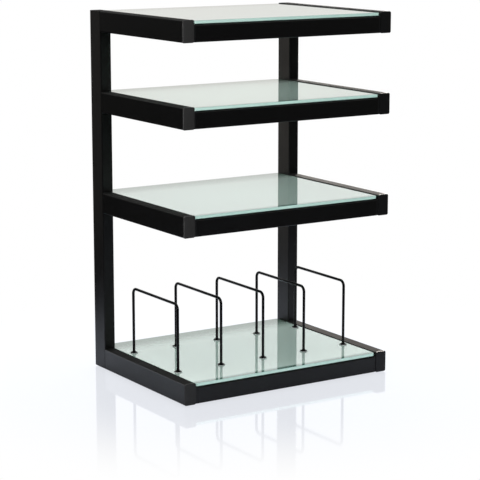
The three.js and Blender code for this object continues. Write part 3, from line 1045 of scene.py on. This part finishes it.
def screw_mesh(sizes):
    """A countersunk screw that points down, with a hexagon socket, in a face at z = 0."""
    mouth_share = 0.72
    face = -sizes.sunk
    ease = sizes.land / 4
    rings = [
        circle_ring(sizes.shank / 6, -sizes.reach),
        circle_ring(sizes.shank / 2, sizes.shank / 2 - sizes.reach),
        circle_ring(sizes.shank / 2, -sizes.land - sizes.cone),
        circle_ring(sizes.head / 2, face - sizes.land),
        circle_ring(sizes.head / 2, face - ease),
        circle_ring(sizes.head / 2 - ease, face),
        circle_ring(sizes.socket * mouth_share, face),
        hexagon_ring(sizes.socket, face - ease),
        hexagon_ring(sizes.socket, face - sizes.socket_depth),
    ]
    return loft("screw", rings)


def countersink_mesh(sizes, wall):
    """What a screw's countersink takes out of a wall whose face is at z = 0."""
    mouth = sizes.head / 2 + sizes.hole_gap
    hole = sizes.shank / 2 + sizes.hole_gap
    profile = ((hole, -2 * wall - sizes.cone), (hole, -sizes.land - sizes.cone), (mouth, -sizes.land),
               (mouth, wall))
    return loft("countersink", [circle_ring(radius, height) for radius, height in profile])


def screw_places(moulded):
    """Where each screw goes: the tube that it passes, the point on its face and the screw's turn."""
    places = []
    for side in SIDES:
        post = f"{side}_post"
        x = across(post, 2)[0][0]
        for level in LEVELS:
            arm = f"{side}_{level}_arm"
            front_y = across(f"front_{level}_rail", 0)[0][0] + moulded.front_tenon_shift
            rear_z = across(f"rear_{level}_rail", 0)[0][1]
            places.append((arm, (x, front_y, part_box(arm)[0].z), (math.pi, 0.0, 0.0)))
            places.append((post, (x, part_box(post)[1].y, rear_z), (-QUARTER, 0.0, 0.0)))
    return places


# Operators

class RACK_OT_side_frames(Operator):
    """Makes the posts and arms of both side frames, with the weld beads between them"""

    bl_idname = "rack.side_frames"
    bl_label = "Side Frames"

    def execute(self, context):
        tubes = context.scene.rack_tubes
        steel = shared_material("Satin Powder Coat")
        meshes = {f"{side}_post": post_mesh(f"{side}_post", tubes) for side in SIDES}
        meshes |= {arm: tube_mesh(arm, 1, tubes.corner, tubes) for arm in ARMS}
        places = screw_places(context.scene.rack_moulded)
        for node, mesh in meshes.items():
            points, turns = zip(*(place[1:] for place in places if place[0] == node))
            countersink = countersink_mesh(context.scene.rack_screws, tubes.wall)
            stand_for(node, cut_copies(fine(node, mesh), countersink, points, turns, steel), steel)
        self.add_beads(context.scene.rack_welds, steel)
        return {"FINISHED"}

    def add_beads(self, sizes, steel):
        points = []
        for side in SIDES:
            post_low, post_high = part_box(f"{side}_post")
            floor_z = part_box(f"{side}_post_foot")[0].z
            for level in LEVELS:
                arm_low, arm_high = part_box(f"{side}_{level}_arm")
                for z in (arm_low.z, arm_high.z):
                    if floor_z + sizes.radius < z < post_high.z - sizes.radius:
                        points.append((arm_low.x + sizes.end_gap, post_low.y, z))
                        points.append((arm_high.x - sizes.end_gap, post_low.y, z))
        edges = [(n, n + 1) for n in range(0, len(points), 2)]
        values = {"Radius": sizes.radius, "Step": sizes.step, "Ripple": sizes.ripple,
                  "Ripple Share": sizes.ripple_share, "End Power": sizes.end_power, "Material": steel}
        dress(grow("weld_beads", "Weld Beads", points, edges, values), steel, "frame")


class RACK_OT_arm_caps(Operator):
    """Makes the moulded caps on the fronts of the arms"""

    bl_idname = "rack.arm_caps"
    bl_label = "Arm Caps"

    def execute(self, context):
        plastic = shared_material("Grained Plastic")
        for node in (arm + "_cap" for arm in ARMS):
            mesh = cap_mesh(node, context.scene.rack_tubes, context.scene.rack_moulded)
            stand_for(node, fine(node, mesh), plastic)
        return {"FINISHED"}


class RACK_OT_cross_rails(Operator):
    """Makes the cross rails, front and rear"""

    bl_idname = "rack.cross_rails"
    bl_label = "Cross Rails"

    def execute(self, context):
        tubes = context.scene.rack_tubes
        steel = shared_material("Satin Powder Coat")
        for rail in RAILS:
            stand_for(rail, fine(rail, tube_mesh(rail, 0, tubes.rail_corner, tubes)), steel)
        return {"FINISHED"}


class RACK_OT_rail_plugs(Operator):
    """Makes the moulded plugs at the ends of the rails, with the tongues that carry the glass"""

    bl_idname = "rack.rail_plugs"
    bl_label = "Rail Plugs"

    def execute(self, context):
        tubes, sizes = context.scene.rack_tubes, context.scene.rack_moulded
        plastic = shared_material("Black Plastic")
        for rail in RAILS:
            shift = sizes.front_tenon_shift if rail.startswith("front") else 0.0
            for node in (f"{rail}_{side}_plug" for side in SIDES):
                stand_for(node, plug_object(node, rail, tubes, sizes, shift), plastic)
        return {"FINISHED"}


class RACK_OT_feet(Operator):
    """Makes the feet of the posts and finishes the glides"""

    bl_idname = "rack.feet"
    bl_label = "Feet And Glides"

    def execute(self, context):
        plastic = shared_material("Grained Plastic")
        for side in SIDES:
            foot, glide = f"{side}_post_foot", f"{side}_rear_glide"
            mesh = foot_mesh(foot, glide, context.scene.rack_tubes, context.scene.rack_moulded)
            stand_for(foot, fine(foot, mesh), plastic)
            for run in RUNS:
                for slot in frame["nodes"][f"{side}_{run}_glide"].material_slots:
                    slot.material = plastic
        return {"FINISHED"}


class RACK_OT_glass_shelves(Operator):
    """Makes the four glass shelves, with holes for the dividers' studs in the lowest"""

    bl_idname = "rack.glass_shelves"
    bl_label = "Glass Shelves"

    def execute(self, context):
        glass = shared_material("Satin Glass")
        for level in LEVELS:
            node = f"{level}_glass_shelf"
            mesh = shelf_mesh(node, context.scene.rack_glass, context.scene.rack_tubes.arc_steps)
            sheet = fine(node, mesh)
            if node == LOW_GLASS:
                self.cut_stud_holes(sheet, context.scene.rack_dividers, glass)
            stand_for(node, sheet, glass)
        return {"FINISHED"}

    def cut_stud_holes(self, sheet, sizes, glass):
        hole_facets = 32
        low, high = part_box(LOW_GLASS)
        radius = (sizes.stud + sizes.hole_gap) / 2
        rings = [circle_ring(radius, height, hole_facets) for height in (low.z - MM, high.z + MM)]
        cut_copies(sheet, loft("hole", rings), divider_feet(sizes, 0.0), None, glass)


class RACK_OT_record_dividers(Operator):
    """Makes the bent wire dividers with their collars and studs"""

    bl_idname = "rack.record_dividers"
    bl_label = "Record Dividers"

    def execute(self, context):
        sizes = context.scene.rack_dividers
        coating = shared_material("Dipped Wire Coating")
        collar = smooth(link("collar", collar_mesh(sizes)))
        values = {"Bend": sizes.bend, "Bend Steps": sizes.bend_steps, "Wire Radius": sizes.wire / 2,
                  "Wire Facets": sizes.wire_facets, "Collar": collar, "Material": coating}
        feet = divider_feet(sizes, seat_height(sizes))
        for node, front, back in zip(DIVIDERS, feet[::2], feet[1::2]):
            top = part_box(node)[1].z - sizes.wire / 2
            points = [front, (*front[:2], top), (*back[:2], top), back]
            hoop = grow(node + "_fine", "Wire Hoop", points, [(0, 1), (1, 2), (2, 3)], values)
            dress(hoop, coating, BODY_OF[node], (node,))
        bpy.data.objects.remove(collar)
        return {"FINISHED"}


class RACK_OT_divider_fixings(Operator):
    """Sets the clear washers on the bottom glass, and the washers and nuts under it"""

    bl_idname = "rack.divider_fixings"
    bl_label = "Divider Fixings"

    def execute(self, context):
        sizes = context.scene.rack_dividers
        low, high = (corner.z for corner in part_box(LOW_GLASS))
        hole = sizes.stud + sizes.hole_gap
        clear = washer_mesh(sizes.washer_width, hole, 0.0, sizes.washer, sizes.washer / 3)
        plain = washer_mesh(sizes.under_washer_width, hole, -sizes.under_washer, 0.0, sizes.under_washer / 4)
        nut_turn = math.radians(37)
        spun = [(0.0, 0.0, nut_turn * n) for n in range(2 * len(DIVIDERS))]
        for name, mesh, height, turns, material, slot in (
            ("clear_washers", clear, high, None, "Clear Soft Plastic", "moulded_plastic"),
            ("under_washers", plain, low, None, "Zinc Plating", "coated_wire"),
            ("divider_nuts", nut_mesh(sizes), low - sizes.under_washer, spun, "Zinc Plating", "coated_wire"),
        ):
            points = divider_feet(sizes, height)
            set_copies(name, mesh, points, turns, shared_material(material), BODY_OF[LOW_GLASS])
        return {"FINISHED"}


class RACK_OT_rail_screws(Operator):
    """Sets the countersunk screws that hold the rails, under the arms and on the backs of the posts"""

    bl_idname = "rack.rail_screws"
    bl_label = "Rail Screws"

    def execute(self, context):
        _, points, turns = zip(*screw_places(context.scene.rack_moulded))
        black = shared_material("Blackened Screws")
        mesh = screw_mesh(context.scene.rack_screws)
        set_copies("rail_screws", mesh, points, turns, black, "frame")
        return {"FINISHED"}


class RACK_OT_studio(Operator):
    """Sets the camera, the lamps, the world and the pale floor"""

    bl_idname = "rack.studio"
    bl_label = "Studio"

    def execute(self, context):
        studio = context.scene.rack_studio
        context.scene.view_settings.view_transform = "Standard"
        self.set_camera(context, studio)
        for lamp in LAMPS:
            self.add_lamp(lamp, getattr(studio, lamp.power))
        self.set_world(context, studio)
        self.set_floor(studio)
        return {"FINISHED"}

    def set_camera(self, context, studio):
        data = bpy.data.cameras.new("camera")
        data.lens = studio.lens
        data.sensor_width = 36.0
        data.clip_end = 100.0
        camera = link("camera", data)
        camera.location = studio.camera
        camera.rotation_euler = (QUARTER - studio.pitch, 0.0, -studio.yaw)
        context.scene.camera = camera

    def add_lamp(self, lamp, power):
        data = bpy.data.lights.new(lamp.name, "AREA")
        data.color = lamp.tint
        data.shape = "RECTANGLE"
        data.size, data.size_y = lamp.size
        data.energy = power
        obj = link(lamp.name, data)
        obj.location = lamp.place
        towards = Vector(lamp.target) - Vector(lamp.place)
        obj.rotation_euler = towards.to_track_quat("-Z", "Y").to_euler()
        obj.visible_camera = False
        obj.visible_glossy = lamp.in_gloss
        if lamp.lights or lamp.spares:
            obj.light_linking.receiver_collection = lit_set(lamp.name)

    def set_world(self, context, studio):
        world = bpy.data.worlds.new("studio")
        context.scene.world = world
        world.use_nodes = True
        tree = world.node_tree
        tree.nodes.clear()
        rays = add_node(tree, "ShaderNodeLightPath").outputs
        direction = split(tree, add_node(tree, "ShaderNodeTexCoord").outputs["Generated"])
        sideways = maths(tree, "MULTIPLY", direction["X"], math.sin(studio.yaw))
        ahead = maths(tree, "MULTIPLY_ADD", direction["Y"], math.cos(studio.yaw), sideways)
        behind = maths(tree, "MULTIPLY", ramp(tree, direction["Z"], *HORIZON), ramp(tree, ahead, *REARWARD))
        overhead = maths(tree, "MULTIPLY", ramp(tree, direction["Z"], *HIGH_UP), studio.high_share)
        white = maths(tree, "MAXIMUM", behind, overhead)
        glow = {"Value": white, "To Min": studio.front_glow, "To Max": studio.rear_glow}
        glossy = maths(tree, "MULTIPLY", rays["Is Glossy Ray"], result_of(tree, "ShaderNodeMapRange", glow))
        shown = maths(tree, "MAXIMUM", rays["Is Camera Ray"], rays["Is Transmission Ray"])
        bright = maths(tree, "MAXIMUM", shown, glossy)
        plain = maths(tree, "SUBTRACT", 1.0, maths(tree, "MAXIMUM", shown, rays["Is Glossy Ray"]))
        soft = maths(tree, "MULTIPLY_ADD", white, studio.rear_ambient, studio.ambient)
        upwards = ramp(tree, direction["Z"], *TINT_CHANGE)
        glow_tint = mix_colours(tree, upwards, studio.low_tint, studio.high_tint)
        sky = {"Color": mix_colours(tree, rays["Is Glossy Ray"], WHITE, glow_tint),
               "Strength": maths(tree, "MULTIPLY_ADD", plain, soft, bright)}
        add_node(tree, "ShaderNodeOutputWorld", {"Surface": result_of(tree, "ShaderNodeBackground", sky)})

    def set_floor(self, studio):
        half = studio.floor_size / 2
        mesh = bpy.data.meshes.new("floor")
        corners = [(-half, -half, 0.0), (half, -half, 0.0), (half, half, 0.0), (-half, half, 0.0)]
        mesh.from_pydata(corners, [], [(0, 1, 2, 3)])
        floor = link("floor", mesh)
        material, tree, polish, vector = new_material("Pale Floor")
        mesh.materials.append(material)
        pale = Vector(studio.floor)
        rays = add_node(tree, "ShaderNodeLightPath").outputs
        away = add_node(tree, "ShaderNodeVectorMath", {0: vector}, operation="LENGTH").outputs["Value"]
        set_inputs(tree, polish, {"Base Color": opaque(pale * (1 - studio.floor_lift)),
                                  "Roughness": studio.floor_roughness})
        lift = emission(tree, pale * studio.floor_lift)
        near = result_of(tree, "ShaderNodeAddShader", {0: polish.outputs["BSDF"], 1: lift})
        shown = mix_shaders(tree, ramp(tree, away, studio.near, studio.far), near, emission(tree, WHITE))
        bounce = result_of(tree, "ShaderNodeBsdfDiffuse", {"Color": opaque(studio.floor_bounce)})
        past_card = ramp(tree, away, studio.card / 2, studio.card)
        beyond = maths(tree, "MULTIPLY", past_card, rays["Is Glossy Ray"])
        unseen = mix_shaders(tree, beyond, bounce, emission(tree, BLACK))
        whole = mix_shaders(tree, rays["Is Camera Ray"], unseen, shown)
        set_inputs(tree, tree.nodes["Material Output"], {"Surface": whole})


OPERATORS = (
    RACK_OT_studio,
    RACK_OT_side_frames,
    RACK_OT_arm_caps,
    RACK_OT_cross_rails,
    RACK_OT_rail_plugs,
    RACK_OT_feet,
    RACK_OT_glass_shelves,
    RACK_OT_record_dividers,
    RACK_OT_divider_fixings,
    RACK_OT_rail_screws,
)


class RACK_PT_panel(Panel):
    """Lists the rack's operators and settings"""

    bl_idname = "RACK_PT_panel"
    bl_label = "Audio Rack"
    bl_space_type = "VIEW_3D"
    bl_region_type = "UI"
    bl_category = "Rack"

    def draw(self, context):
        for operator in OPERATORS:
            self.layout.operator(operator.bl_idname)
        for name in SETTINGS:
            box = self.layout.box()
            settings = getattr(context.scene, name)
            for label in settings.bl_rna.properties.keys():
                if label not in ("rna_type", "name"):
                    box.prop(settings, label)


CLASSES = (*SETTINGS.values(), *OPERATORS, RACK_PT_panel)


def register():
    """Registers the classes and hangs their settings on the scene."""
    for item in CLASSES:
        bpy.utils.register_class(item)
    for name, group in SETTINGS.items():
        setattr(bpy.types.Scene, name, PointerProperty(type=group))


def unregister():
    """Takes the settings off the scene and unregisters the classes."""
    for name in SETTINGS:
        delattr(bpy.types.Scene, name)
    for item in reversed(CLASSES):
        bpy.utils.unregister_class(item)


def main():
    """Builds the studio and every piece."""
    register()
    bpy.ops.rack.studio()
    bpy.ops.rack.side_frames()
    bpy.ops.rack.arm_caps()
    bpy.ops.rack.cross_rails()
    bpy.ops.rack.rail_plugs()
    bpy.ops.rack.feet()
    bpy.ops.rack.glass_shelves()
    bpy.ops.rack.record_dividers()
    bpy.ops.rack.divider_fixings()
    bpy.ops.rack.rail_screws()


if __name__ == "__main__":
    main()
